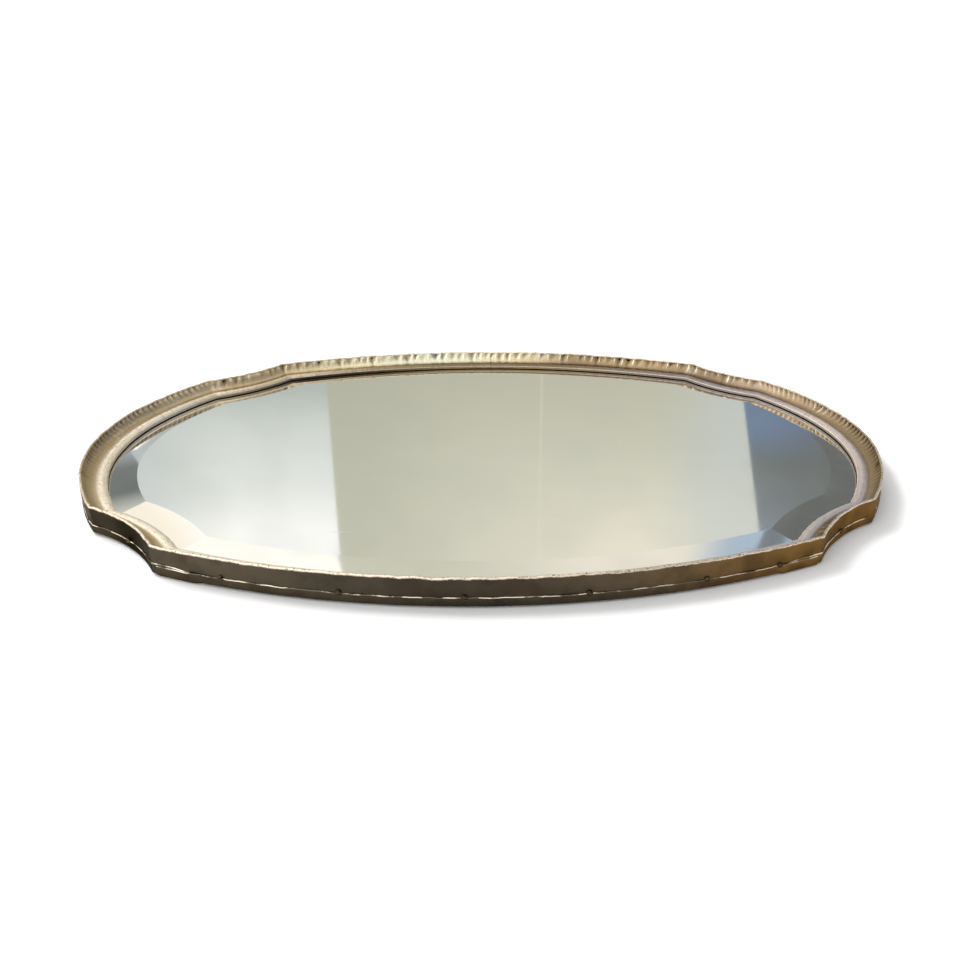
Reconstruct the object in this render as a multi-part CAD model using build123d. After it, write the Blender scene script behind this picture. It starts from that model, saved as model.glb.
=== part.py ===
from build123d import *

import os
from collections import namedtuple
from math import asin, atan2, cos, degrees, hypot, radians, sin, sqrt

# Mirrored vanity tray. Its plan is a long oval with four hollowed corners, drawn only with circular
# arcs. A wooden ring is wrapped in thin brass sheet, a bevelled mirror lies in its rebate, and a
# base panel on felt pads closes it from below.
# X runs along the length and Y from front to back. Z = 0 is the surface that the pads stand on.

# ---- plan of the lip, mm ----
HALF_LENGTH = 216.0
HALF_WIDTH = 146.5
SIDE_CUSP = (146.0, 118.2)      # where a long side meets a hollow corner
END_CUSP = (185.2, 84.3)        # where an end meets a hollow corner
HOLLOW_DEPTH = 3.8              # how far a hollow corner dips below its chord
TIP_SWEEP = 20.0                # half angle of the arc at the tip of an end, degrees
FLANK_RADIUS = 158.0            # flatter arcs between the tip and the corners

# ---- heights, mm ----
LIP_TOP = 14.5
STRIP_BOTTOM = 0.8
STRIP_TOP = 5.2
CORE_BOTTOM = 1.3
PANEL_BOTTOM = 0.9
PANEL_TOP = 2.4
CARD_TOP = 2.9
MIRROR_TOP = 6.2
BEVEL_DROP = 1.5
REBATE_CEILING = 5.05
SIGHT_BOTTOM = 5.35             # the sheet's turned-down edge stops just short of the bevel
SIGHT_TOP = 6.8

# ---- distances in from the lip's outer face, mm ----
SHEET = 0.5                     # thickness of the brass
LIP_WIDTH = 1.3
COVE_RADIUS = 5.7
SIGHT_EDGE = 11.6               # inner edge of the rim, where the mirror shows
REBATE_WALL = 8.9
MIRROR_INSET = 9.2
BEVEL_INSET = 25.0
PANEL_INSET = 2.9
PANEL_REBATE = 2.8
STRIP_FLANGE = 2.6
BEAD_RISE = 0.95                # how far the bright ledge stands above a straight slope
FOLD_WIDTH = 0.35               # room between the wall and the cove, inside the lip
STRIP_BEND = 0.9                # radius of the strip's bottom edge

# ---- joints in the sheet and the strips, mm ----
END_JOINT_Y = 43.0
STRIP_JOINT_X = 128.0
JOINT_GAP = 0.2
FUSE_TOLERANCE = 0.02           # two sections meet this closely at a corner's mitre
SAME_CORNER = 1.0               # points closer than this are one corner of the plan
RIM_OVERRUN = 20.0              # length that is turned past a corner and then mitred away
BEVEL_OVERRUN = 15.0
BEVEL_CLEARANCE = 2.0           # how far the bevel's cut runs out past the glass

# ---- fasteners and pads, mm ----
PIN_HEAD_RADIUS = 1.35
PIN_HEAD_HEIGHT = 0.8
PIN_SHANK_RADIUS = 0.55
PIN_STANDOFF = 0.02             # air under a head, so that it clears the curve of the strip
PIN_LENGTH = 5.0
LONG_SIDE_PINS = (-114.0, -64.0, -13.0, 38.0, 89.0, 124.0)
END_PINS = (-45.0, 0.0, 45.0)
SCREW_INSET = 5.8
SCREW_HEAD_RADIUS = 2.1
SCREW_HEAD_HEIGHT = 1.2
SCREW_SHANK_RADIUS = 1.0
SCREW_TIP = 6.4
SCREW_SLOT_WIDTH = 0.6
SCREW_SLOT_DEPTH = 0.5
LONG_SIDE_SCREWS = (-100.0, 0.0, 100.0)
END_SCREWS = (-52.0, 52.0)
PAD_RADIUS = 7.0
PAD_INSET = 13.0
CORNERS = ("front_left", "front_right", "back_left", "back_right")

Stretch = namedtuple("Stretch", "name centre radius middle sweep convex")


def polar(centre, radius, angle):
    return (centre[0] + radius * cos(radians(angle)), centre[1] + radius * sin(radians(angle)))


def angle_from(centre, point):
    return degrees(atan2(point[1] - centre[1], point[0] - centre[0]))


# ---- the plan: one quarter worked out, the rest mirrored ----
def side_arc():
    rise = HALF_WIDTH - SIDE_CUSP[1]
    radius = (SIDE_CUSP[0] ** 2 + rise ** 2) / (2 * rise)
    return Stretch("side", (0.0, HALF_WIDTH - radius), radius, 90.0,
                   degrees(asin(SIDE_CUSP[0] / radius)), True)


def hollow_arc():
    dx = END_CUSP[0] - SIDE_CUSP[0]
    dy = END_CUSP[1] - SIDE_CUSP[1]
    chord = hypot(dx, dy)
    radius = ((chord / 2) ** 2 + HOLLOW_DEPTH ** 2) / (2 * HOLLOW_DEPTH)
    outward = (-dy / chord, dx / chord)
    standoff = radius - HOLLOW_DEPTH
    centre = ((END_CUSP[0] + SIDE_CUSP[0]) / 2 + outward[0] * standoff,
              (END_CUSP[1] + SIDE_CUSP[1]) / 2 + outward[1] * standoff)
    inward = degrees(atan2(-outward[1], -outward[0]))
    return Stretch("hollow", centre, radius, inward, degrees(asin(chord / 2 / radius)), False)


def tip_radius():
    """Radius of the tip arc, so that a flank arc tangent to it ends on the corner."""
    ux, uy = cos(radians(TIP_SWEEP)), sin(radians(TIP_SWEEP))
    ax = END_CUSP[0] - HALF_LENGTH + FLANK_RADIUS * ux
    ay = END_CUSP[1] + FLANK_RADIUS * uy
    a = (1 - ux) ** 2 + uy ** 2
    b = 2 * (ax * (1 - ux) - ay * uy)
    c = ax ** 2 + ay ** 2 - FLANK_RADIUS ** 2
    return (-b - sqrt(b ** 2 - 4 * a * c)) / (2 * a)


def end_arcs():
    radius = tip_radius()
    tip_centre = (HALF_LENGTH - radius, 0.0)
    flank_centre = polar(tip_centre, radius - FLANK_RADIUS, TIP_SWEEP)
    last = angle_from(flank_centre, END_CUSP)
    flank = Stretch("flank", flank_centre, FLANK_RADIUS, (TIP_SWEEP + last) / 2,
                    (last - TIP_SWEEP) / 2, True)
    return Stretch("tip", tip_centre, radius, 0.0, TIP_SWEEP, True), flank


def mirrored(stretch, name, flip_x, flip_y):
    x, y = stretch.centre
    angle = stretch.middle
    if flip_x:
        x, angle = -x, 180.0 - angle
    if flip_y:
        y, angle = -y, -angle
    return stretch._replace(name=name, centre=(x, y), middle=angle)


def whole_plan():
    """The twelve stretches in order, from the tip of the right end round by the back."""
    tip, flank = end_arcs()
    hollow, side = hollow_arc(), side_arc()
    return [
        mirrored(tip, "right_tip", False, False),
        mirrored(flank, "right_back", False, False),
        mirrored(hollow, "corner_back_right", False, False),
        mirrored(side, "back", False, False),
        mirrored(hollow, "corner_back_left", True, False),
        mirrored(flank, "left_back", True, False),
        mirrored(tip, "left_tip", True, False),
        mirrored(flank, "left_front", True, True),
        mirrored(hollow, "corner_front_left", True, True),
        mirrored(side, "front", False, True),
        mirrored(hollow, "corner_front_right", False, True),
        mirrored(flank, "right_front", False, True),
    ]


PLAN = whole_plan()


def stretch_named(name):
    return next(stretch for stretch in PLAN if stretch.name == name)


def inset_radius(stretch, inset):
    return stretch.radius - inset if stretch.convex else stretch.radius + inset


def point_on(stretch, inset, angle):
    return polar(stretch.centre, inset_radius(stretch, inset), angle)


def meeting_point(first, second, inset):
    """Where two neighbouring stretches meet, `inset` mm in from the lip's outer face."""
    r1, r2 = inset_radius(first, inset), inset_radius(second, inset)
    dx = second.centre[0] - first.centre[0]
    dy = second.centre[1] - first.centre[1]
    distance = hypot(dx, dy)
    along = (distance ** 2 + r1 ** 2 - r2 ** 2) / (2 * distance)
    across = sqrt(max(0.0, r1 ** 2 - along ** 2))
    ux, uy = dx / distance, dy / distance
    x = first.centre[0] + along * ux
    y = first.centre[1] + along * uy
    options = [(x - across * uy, y + across * ux), (x + across * uy, y - across * ux)]
    lip_end = [point_on(first, 0.0, first.middle + side * first.sweep) for side in (-1, 1)]
    other = [point_on(second, 0.0, second.middle + side * second.sweep) for side in (-1, 1)]
    corner = min(lip_end, key=lambda p: min(hypot(p[0] - q[0], p[1] - q[1]) for q in other))
    return min(options, key=lambda p: hypot(p[0] - corner[0], p[1] - corner[1]))


def plan_face(inset):
    """Flat face bounded by the plan, `inset` mm in from the lip."""
    count = len(PLAN)
    corners = [meeting_point(PLAN[i - 1], PLAN[i], inset) for i in range(count)]
    edges = []
    for i, stretch in enumerate(PLAN):
        middle = point_on(stretch, inset, stretch.middle)
        edges.append(ThreePointArc(corners[i], middle, corners[(i + 1) % count]))
    return make_face(edges)


def plate(inset, bottom, top):
    return extrude(plan_face(inset).moved(Location((0, 0, bottom))), top - bottom)


# ---- sections of the rim: x is minus the distance in from the lip's face, y is the height ----
COVE_CENTRE = (-LIP_WIDTH - COVE_RADIUS, LIP_TOP - LIP_WIDTH / 2)
COVE_FLOOR = (COVE_CENTRE[0], COVE_CENTRE[1] - COVE_RADIUS)
UNDER_RADIUS = COVE_RADIUS + SHEET
UNDER_FLOOR = (COVE_CENTRE[0], COVE_CENTRE[1] - UNDER_RADIUS)
FOLD_X = -SHEET - FOLD_WIDTH
FOLD_Z = COVE_CENTRE[1] - sqrt(UNDER_RADIUS ** 2 - (FOLD_X - COVE_CENTRE[0]) ** 2)
BEAD_CROWN = ((COVE_CENTRE[0] - SIGHT_EDGE) / 2, (COVE_FLOOR[1] + SIGHT_TOP) / 2 + BEAD_RISE)
UNDER_CROWN = (BEAD_CROWN[0], BEAD_CROWN[1] - SHEET)
UNDER_SIGHT = (-SIGHT_EDGE + SHEET, SIGHT_TOP - SHEET / 2)


def face_of(edges):
    return make_face([Plane.XZ * edge for edge in edges])


def lines_through(corners):
    return [Line(start, end) for start, end in zip(corners, corners[1:])]


def arc_about(centre, radius, first, last):
    middle = (first + last) / 2
    return ThreePointArc(polar(centre, radius, first), polar(centre, radius, middle),
                         polar(centre, radius, last))


def cove_underside():
    """Arc from the cove's floor up to the fold, a sheet's thickness below the cove."""
    first, last = -90.0, angle_from(COVE_CENTRE, (FOLD_X, FOLD_Z))
    return ThreePointArc(UNDER_FLOOR, polar(COVE_CENTRE, UNDER_RADIUS, (first + last) / 2),
                         (FOLD_X, FOLD_Z))


def rim_sheet_section():
    """Brass sheet: wall, folded lip, cove, bright ledge and turned-down sight edge."""
    wall_foot = (0, CORE_BOTTOM)
    wall_top = (0, COVE_CENTRE[1])
    sight_top = (-SIGHT_EDGE, SIGHT_TOP)
    edges = [
        Line(wall_foot, wall_top),
        ThreePointArc(wall_top, (-LIP_WIDTH / 2, LIP_TOP), (-LIP_WIDTH, COVE_CENTRE[1])),
        arc_about(COVE_CENTRE, COVE_RADIUS, 0, -90),
        ThreePointArc(COVE_FLOOR, BEAD_CROWN, sight_top),
        ThreePointArc(UNDER_SIGHT, UNDER_CROWN, UNDER_FLOOR),
        cove_underside(),
    ]
    edges += lines_through([sight_top, (-SIGHT_EDGE, SIGHT_BOTTOM),
                            (UNDER_SIGHT[0], SIGHT_BOTTOM), UNDER_SIGHT])
    edges += lines_through([(FOLD_X, FOLD_Z), (-SHEET, FOLD_Z), (-SHEET, CORE_BOTTOM), wall_foot])
    return face_of(edges)


def core_section():
    """Wooden core: under the sheet above, rebated for the mirror and the base panel below."""
    corners = [UNDER_SIGHT, (UNDER_SIGHT[0], REBATE_CEILING), (-REBATE_WALL, REBATE_CEILING),
               (-REBATE_WALL, PANEL_TOP), (-PANEL_REBATE, PANEL_TOP),
               (-PANEL_REBATE, CORE_BOTTOM), (-SHEET, CORE_BOTTOM), (-SHEET, FOLD_Z),
               (FOLD_X, FOLD_Z)]
    edges = lines_through(corners)
    edges += [cove_underside(), ThreePointArc(UNDER_FLOOR, UNDER_CROWN, UNDER_SIGHT)]
    return face_of(edges)


def strip_section():
    """Lower side strip, standing proud of the wall, with its bottom edge turned under."""
    bend_centre = (SHEET - STRIP_BEND, STRIP_BOTTOM + STRIP_BEND)
    edges = [arc_about(bend_centre, STRIP_BEND, 0, -90)]
    edges += lines_through([(bend_centre[0], STRIP_BOTTOM), (-STRIP_FLANGE, STRIP_BOTTOM),
                            (-STRIP_FLANGE, CORE_BOTTOM), (0, CORE_BOTTOM), (0, STRIP_TOP),
                            (SHEET, STRIP_TOP), (SHEET, bend_centre[1])])
    return face_of(edges)


def bevel_section():
    """Triangle of glass that is ground away to make the mirror's bevel."""
    outer = MIRROR_INSET - BEVEL_CLEARANCE
    slope = BEVEL_DROP / (BEVEL_INSET - MIRROR_INSET)
    low = (-outer, MIRROR_TOP - slope * (BEVEL_INSET - outer))
    return face_of(lines_through([low, (-BEVEL_INSET, MIRROR_TOP), (-outer, MIRROR_TOP), low]))


# ---- turning a section along the plan ----
def turned(section, stretch, before, after):
    """The section turned about the stretch's centre, run on by so many degrees at each end."""
    if stretch.convex:
        placed = section.moved(Location((stretch.radius, 0, 0)))
    else:
        placed = mirror(section, Plane.YZ).moved(Location((stretch.radius, 0, 0)))
    first = stretch.middle - stretch.sweep - before
    total = 2 * stretch.sweep + before + after
    ring = revolve(placed, Axis.Z, total)
    return ring.moved(Location((*stretch.centre, 0), (0, 0, first)))


def mitre_plane(first, second):
    """Upright plane through the corner between two stretches, facing the second one."""
    outer = meeting_point(first, second, 0.0)
    inner = meeting_point(first, second, SIGHT_EDGE)
    facing = Vector(outer[1] - inner[1], inner[0] - outer[0], 0)
    onward = Vector(*point_on(second, 0.0, second.middle)) - Vector(*outer)
    if facing.dot(onward) < 0:
        facing = facing * -1
    return Plane(origin=(*outer, 0), z_dir=facing)


def is_corner(first, second):
    return first.convex != second.convex


def neighbours(stretch):
    index = PLAN.index(stretch)
    return PLAN[index - 1], PLAN[(index + 1) % len(PLAN)]


def starts_at(stretch, previous):
    """True where the stretch's angles grow away from the previous stretch."""
    start = point_on(stretch, 0.0, stretch.middle - stretch.sweep)
    joint = meeting_point(previous, stretch, 0.0)
    return hypot(start[0] - joint[0], start[1] - joint[1]) < SAME_CORNER


def turned_past_corners(section, stretch, length):
    """The section turned along a stretch, and on by `length` mm wherever it ends on a corner."""
    previous, following = neighbours(stretch)
    pair = (previous, following) if starts_at(stretch, previous) else (following, previous)
    overrun = degrees(length / stretch.radius)
    before, after = (overrun if is_corner(stretch, side) else 0.0 for side in pair)
    return turned(section, stretch, before, after)


def stretch_solid(section, stretch):
    """One stretch of the rim, mitred where it meets its neighbours at a corner."""
    solid = turned_past_corners(section, stretch, RIM_OVERRUN)
    for neighbour in neighbours(stretch):
        if is_corner(stretch, neighbour):
            solid = split(solid, bisect_by=mitre_plane(neighbour, stretch), keep=Keep.TOP)
    return solid


def joined(pieces):
    """One solid from neighbours whose sections all but coincide where they meet."""
    if len(pieces) == 1:
        return pieces[0]
    return pieces[0].fuse(*pieces[1:], tol=FUSE_TOLERANCE)


def ring_part(section, names, cuts=()):
    """Neighbouring stretches joined into one piece, then trimmed by the planes in `cuts`."""
    solid = joined([stretch_solid(section, stretch_named(name)) for name in names])
    for plane in cuts:
        solid = split(solid, bisect_by=plane, keep=Keep.TOP)
    return solid


def beyond(axis, limit, side):
    """Plane that keeps what lies past `limit` on an axis, towards + or - as `side` says."""
    direction = Vector(1, 0, 0) if axis == "x" else Vector(0, 1, 0)
    return Plane(origin=direction * limit, z_dir=direction * side)


# ---- fasteners ----
def on_long_side(name, x):
    """A long side's stretch, and the angle at which it passes x."""
    stretch = stretch_named(name)
    lean = degrees(asin(x / stretch.radius))
    return stretch, 90 - lean if name == "back" else lean - 90


def on_end(side, y):
    """The stretch of an end that passes y, and its angle there."""
    stretch = stretch_named(side + "_tip")
    if abs(y) > stretch.radius * sin(radians(TIP_SWEEP)):
        stretch = stretch_named(side + ("_back" if y > 0 else "_front"))
    lean = degrees(asin((y - stretch.centre[1]) / stretch.radius))
    return stretch, lean if side == "right" else 180 - lean


def places_round(front_x, back_x, end_y):
    """Stretches and angles along both long sides, round both ends and in each hollow."""
    places = [on_long_side("front", x) for x in front_x]
    places += [on_long_side("back", x) for x in back_x]
    places += [on_end(side, y) for side in ("right", "left") for y in end_y]
    hollows = [stretch_named("corner_" + corner) for corner in CORNERS]
    return places + [(hollow, hollow.middle) for hollow in hollows]


def pin_places():
    return places_round(LONG_SIDE_PINS, [-x for x in LONG_SIDE_PINS], END_PINS)


def screw_places():
    places = places_round(LONG_SIDE_SCREWS, LONG_SIDE_SCREWS, END_SCREWS)
    return [point_on(stretch, SCREW_INSET, angle) for stretch, angle in places]


def pin_frame(stretch, angle):
    """Plane on the strip's outer face at a pin, facing outwards."""
    x, y = point_on(stretch, -SHEET - PIN_STANDOFF, angle)
    turn = angle if stretch.convex else angle + 180
    return Plane(origin=(x, y, STRIP_TOP), z_dir=(cos(radians(turn)), sin(radians(turn)), 0))


def pin(frame):
    dome_radius = (PIN_HEAD_RADIUS ** 2 + PIN_HEAD_HEIGHT ** 2) / (2 * PIN_HEAD_HEIGHT)
    ball = Sphere(dome_radius).moved(Location((0, 0, PIN_HEAD_HEIGHT - dome_radius)))
    head = split(ball, bisect_by=Plane.XY, keep=Keep.TOP)
    return frame * (head + shank())


def shank():
    return Cylinder(PIN_SHANK_RADIUS, PIN_LENGTH,
                    align=(Align.CENTER, Align.CENTER, Align.MAX))


def screw_body(place):
    """Countersunk head and shank, pointing up from the underside of the base panel."""
    upright = (Align.CENTER, Align.CENTER, Align.MIN)
    head = Cone(SCREW_HEAD_RADIUS, SCREW_SHANK_RADIUS, SCREW_HEAD_HEIGHT, align=upright)
    body = head + Cylinder(SCREW_SHANK_RADIUS, SCREW_TIP - PANEL_BOTTOM, align=upright)
    return body.moved(Location((*place, PANEL_BOTTOM)))


def screw(place):
    slot = Box(3 * SCREW_HEAD_RADIUS, SCREW_SLOT_WIDTH, 2 * SCREW_SLOT_DEPTH)
    return screw_body(place) - slot.moved(Location((*place, PANEL_BOTTOM)))


def pad_place(side_x, side_y):
    """Under a corner of the long side, a little way in along the corner's mitre."""
    outer = Vector(side_x * SIDE_CUSP[0], side_y * SIDE_CUSP[1])
    hollow = stretch_named(f"corner_{'back' if side_y > 0 else 'front'}_"
                           f"{'right' if side_x > 0 else 'left'}")
    side = stretch_named("back" if side_y > 0 else "front")
    inner = Vector(*meeting_point(hollow, side, PAD_INSET))
    return outer + (inner - outer).normalized() * PAD_INSET


# ---- the pieces ----
def mirror_plate():
    glass = plate(MIRROR_INSET, CARD_TOP, MIRROR_TOP)
    section = bevel_section()
    for stretch in PLAN:
        glass = glass - turned_past_corners(section, stretch, BEVEL_OVERRUN)
    return glass


def core_pieces(pin_holes, screw_holes):
    section = core_section()
    groups = {
        "core_rail_front": ["front"],
        "core_rail_back": ["back"],
        "core_end_right": ["right_front", "right_tip", "right_back"],
        "core_end_left": ["left_back", "left_tip", "left_front"],
    }
    groups.update({"core_corner_" + corner: ["corner_" + corner] for corner in CORNERS})
    return {name: drilled(ring_part(section, names), pin_holes + screw_holes)
            for name, names in groups.items()}


def rim_sheets(pin_holes):
    section = rim_sheet_section()
    gap = JOINT_GAP / 2
    front = ring_part(section, ["left_back", "left_tip", "left_front", "corner_front_left", "front",
                                "corner_front_right", "right_front", "right_tip", "right_back"],
                      [beyond("y", END_JOINT_Y - gap, -1)])
    left = ring_part(section, ["left_back", "corner_back_left", "back"],
                     [beyond("y", END_JOINT_Y + gap, 1), beyond("x", -gap, -1)])
    right = ring_part(section, ["back", "corner_back_right", "right_back"],
                      [beyond("y", END_JOINT_Y + gap, 1), beyond("x", gap, 1)])
    sheets = {"rim_sheet_front": front, "rim_sheet_back_left": left,
              "rim_sheet_back_right": right}
    return {name: drilled(sheet, pin_holes) for name, sheet in sheets.items()}


def side_strips(pin_holes):
    section = strip_section()
    gap = JOINT_GAP / 2
    strips = {}
    for name in ("front", "back"):
        strips["side_strip_" + name] = ring_part(
            section, [name], [beyond("x", STRIP_JOINT_X - gap, -1),
                              beyond("x", gap - STRIP_JOINT_X, 1)])
    strips["side_strip_right"] = ring_part(
        section, ["front", "corner_front_right", "right_front", "right_tip", "right_back",
                  "corner_back_right", "back"], [beyond("x", STRIP_JOINT_X + gap, 1)])
    strips["side_strip_left"] = ring_part(
        section, ["back", "corner_back_left", "left_back", "left_tip", "left_front",
                  "corner_front_left", "front"], [beyond("x", -STRIP_JOINT_X - gap, -1)])
    return {name: drilled(strip, pin_holes) for name, strip in strips.items()}


def drilled(solid, holes):
    """The solid less those holes whose boxes touch its own."""
    box = solid.bounding_box()
    near = [hole for hole in holes if overlaps(box, hole.bounding_box())]
    return solid - near if near else solid


def overlaps(first, second):
    """True where two boxes share some of the plan."""
    share_x = first.min.X <= second.max.X and second.min.X <= first.max.X
    share_y = first.min.Y <= second.max.Y and second.min.Y <= first.max.Y
    return share_x and share_y


def felt_pads():
    pads = {}
    for y_name, side_y in (("front", -1), ("back", 1)):
        for x_name, side_x in (("left", -1), ("right", 1)):
            place = pad_place(side_x, side_y)
            pad = Cylinder(PAD_RADIUS, PANEL_BOTTOM, align=(Align.CENTER, Align.CENTER, Align.MIN))
            pads[f"felt_pad_{y_name}_{x_name}"] = pad.moved(Location((place.X, place.Y, 0)))
    return pads


def build():
    frames = [pin_frame(stretch, angle) for stretch, angle in pin_places()]
    pin_holes = [frame * shank() for frame in frames]
    screws = screw_places()
    screw_holes = [screw_body(place) for place in screws]
    nodes = {
        "mirror_plate": mirror_plate(),
        "backing_card": plate(MIRROR_INSET, PANEL_TOP, CARD_TOP),
        "base_panel": drilled(plate(PANEL_INSET, PANEL_BOTTOM, PANEL_TOP), screw_holes),
        "base_screws": Compound(children=[screw(place) for place in screws]),
        "side_pins": Compound(children=[pin(frame) for frame in frames]),
    }
    nodes.update(core_pieces(pin_holes, screw_holes))
    nodes.update(rim_sheets(pin_holes))
    nodes.update(side_strips(pin_holes))
    nodes.update(felt_pads())
    return nodes


os.makedirs("parts", exist_ok=True)
for node_name, shape in build().items():
    export_step(shape, f"parts/{node_name}.step")
    print(node_name, round(shape.volume, 1))
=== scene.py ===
# %% [markdown]
# # A mirrored vanity tray with a brass-clad rim
# The tray is a bevelled mirror lying in a low wooden ring. Thin brass sheet is worked over the ring by
# hand, so its lip wanders a little, its cove is puckered into flutes and its ledge is stippled.
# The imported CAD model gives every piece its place. These cells replace the plain sheet, strips, pads
# and mirror with worked ones, and give each of the other pieces its own finish.

# %% Load the frame
import math
from collections import namedtuple

import bpy
import numpy as np
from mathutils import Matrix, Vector, noise


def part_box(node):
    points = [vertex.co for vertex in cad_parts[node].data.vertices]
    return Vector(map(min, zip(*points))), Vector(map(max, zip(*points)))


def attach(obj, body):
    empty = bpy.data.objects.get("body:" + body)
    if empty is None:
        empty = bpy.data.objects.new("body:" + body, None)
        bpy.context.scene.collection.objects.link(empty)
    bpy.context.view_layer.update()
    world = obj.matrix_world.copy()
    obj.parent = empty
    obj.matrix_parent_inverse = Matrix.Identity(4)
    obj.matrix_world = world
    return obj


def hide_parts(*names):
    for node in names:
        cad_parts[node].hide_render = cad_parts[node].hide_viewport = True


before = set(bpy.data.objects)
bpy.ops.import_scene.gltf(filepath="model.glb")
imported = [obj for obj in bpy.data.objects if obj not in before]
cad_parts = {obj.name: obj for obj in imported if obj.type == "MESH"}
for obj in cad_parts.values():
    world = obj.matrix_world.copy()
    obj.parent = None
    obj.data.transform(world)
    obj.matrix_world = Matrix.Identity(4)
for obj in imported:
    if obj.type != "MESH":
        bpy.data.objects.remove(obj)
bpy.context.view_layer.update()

MM = 0.001

# %% [markdown]
# ## The camera
# A tray is seen well from a little above the table edge. The camera stands at a distance and an
# elevation from a point just behind the tray's middle, and is rolled by about a degree, because it was
# held by hand. It comes first, because every look after this one is judged through it.

# %% Camera
CAMERA_TARGET = Vector((26.1, 29.6, 0.0)) * MM
CAMERA_DISTANCE = 480.7 * MM
CAMERA_ELEVATION = math.radians(23.74)
CAMERA_TURN = math.radians(-3.97)
CAMERA_ROLL = math.radians(1.30)
SENSOR_WIDTH = 36.0
LENS = 29.37
SHIFT = (-0.0572, -0.0491)
NEAREST_SEEN = 0.01


def camera_place():
    flat = CAMERA_DISTANCE * math.cos(CAMERA_ELEVATION)
    rise = CAMERA_DISTANCE * math.sin(CAMERA_ELEVATION)
    return CAMERA_TARGET + Vector((flat * math.sin(CAMERA_TURN), -flat * math.cos(CAMERA_TURN), rise))


bpy.ops.object.camera_add(location=camera_place())
camera = bpy.context.object
aim = (CAMERA_TARGET - camera.location).to_track_quat("-Z", "Y").to_matrix().to_4x4()
camera.rotation_euler = aim.to_euler()
camera.rotation_euler.rotate_axis("Z", CAMERA_ROLL)
camera.data.sensor_width = SENSOR_WIDTH
camera.data.lens = LENS
camera.data.shift_x, camera.data.shift_y = SHIFT
camera.data.clip_start = NEAREST_SEEN
bpy.context.scene.camera = camera
print("camera at", [round(v, 3) for v in camera.location])

# %% [markdown]
# ## The plan of the tray
# The outline is a long oval with four hollowed corners, made only of circular arcs. One quarter is
# enough: its corner points are mirrored, and each stretch between two corner points is an arc of a
# given radius, bulging outwards or, in the hollow corners, inwards.

# %% Plan of the lip
HALF_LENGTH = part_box("rim_sheet_front")[1].x
HALF_WIDTH = -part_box("rim_sheet_front")[0].y
SIDE_CUSP = (146.0 * MM, 118.2 * MM)
END_CUSP = (185.2 * MM, 84.3 * MM)
HOLLOW_DEPTH = 3.8 * MM
FLANK_RADIUS = 158.0 * MM
TIP_SWEEP = math.radians(20.0)
Stretch = namedtuple("Stretch", "name start end centre radius convex first last")


def arc_between(name, start, end, radius, convex):
    """The arc walked anticlockwise round the tray from one corner point to the next."""
    dx, dy = end[0] - start[0], end[1] - start[1]
    chord = math.hypot(dx, dy)
    side = 1 if convex else -1
    back = side * math.sqrt(radius ** 2 - (chord / 2) ** 2)
    centre = ((start[0] + end[0]) / 2 - dy / chord * back, (start[1] + end[1]) / 2 + dx / chord * back)
    first = math.atan2(start[1] - centre[1], start[0] - centre[0])
    last = first + side * 2 * math.asin(chord / 2 / radius)
    return Stretch(name, start, end, centre, radius, convex, first, last)


def tip_radius():
    """Radius of an end's middle arc, so that the flank arc tangent to it reaches the corner."""
    ux, uy = math.cos(TIP_SWEEP), math.sin(TIP_SWEEP)
    ax = END_CUSP[0] - HALF_LENGTH + FLANK_RADIUS * ux
    ay = END_CUSP[1] + FLANK_RADIUS * uy
    a = (1 - ux) ** 2 + uy ** 2
    b = 2 * (ax * (1 - ux) - ay * uy)
    c = ax ** 2 + ay ** 2 - FLANK_RADIUS ** 2
    return (-b - math.sqrt(b ** 2 - 4 * a * c)) / (2 * a)


def make_plan():
    tip = tip_radius()
    join = (HALF_LENGTH - tip + tip * math.cos(TIP_SWEEP), tip * math.sin(TIP_SWEEP))
    rise = HALF_WIDTH - SIDE_CUSP[1]
    side_radius = (SIDE_CUSP[0] ** 2 + rise ** 2) / (2 * rise)
    chord = math.dist(SIDE_CUSP, END_CUSP)
    hollow_radius = ((chord / 2) ** 2 + HOLLOW_DEPTH ** 2) / (2 * HOLLOW_DEPTH)
    quarter = [join, END_CUSP, SIDE_CUSP]
    back = quarter + [(-x, y) for x, y in reversed(quarter)]
    corners = back + [(-x, -y) for x, y in back]
    corners = corners[-1:] + corners[:-1]
    half = [("tip", tip, True), ("back", FLANK_RADIUS, True), ("corner_back_right", hollow_radius, False),
            ("back", side_radius, True), ("corner_back_left", hollow_radius, False),
            ("back", FLANK_RADIUS, True)]
    names = ["right_tip", "right_back", "corner_back_right", "back", "corner_back_left", "left_back",
             "left_tip", "left_front", "corner_front_left", "front", "corner_front_right", "right_front"]
    return [arc_between(name, corners[i], corners[(i + 1) % 12], half[i % 6][1], half[i % 6][2])
            for i, name in enumerate(names)]


PLAN = make_plan()
PLACE = {stretch.name: i for i, stretch in enumerate(PLAN)}
print("plan:", ", ".join(f"{s.name} {s.radius / MM:.1f}" for s in PLAN[:4]))

# %% [markdown]
# ## Corners that stay true
# Where two stretches meet at a corner, every line of the rim has to meet its neighbour on the mitre.
# The offset of an arc is another arc about the same centre, so the mitre point for any distance in from
# the lip is where two circles cross.

# %% Mitres
OUTSIDE_LIP, INSIDE_BEVEL, INSET_COUNT = -3.0 * MM, 27.0 * MM, 61
INSETS = np.linspace(OUTSIDE_LIP, INSIDE_BEVEL, INSET_COUNT)


def inset_radius(stretch, inset):
    return stretch.radius - inset if stretch.convex else stretch.radius + inset


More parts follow.
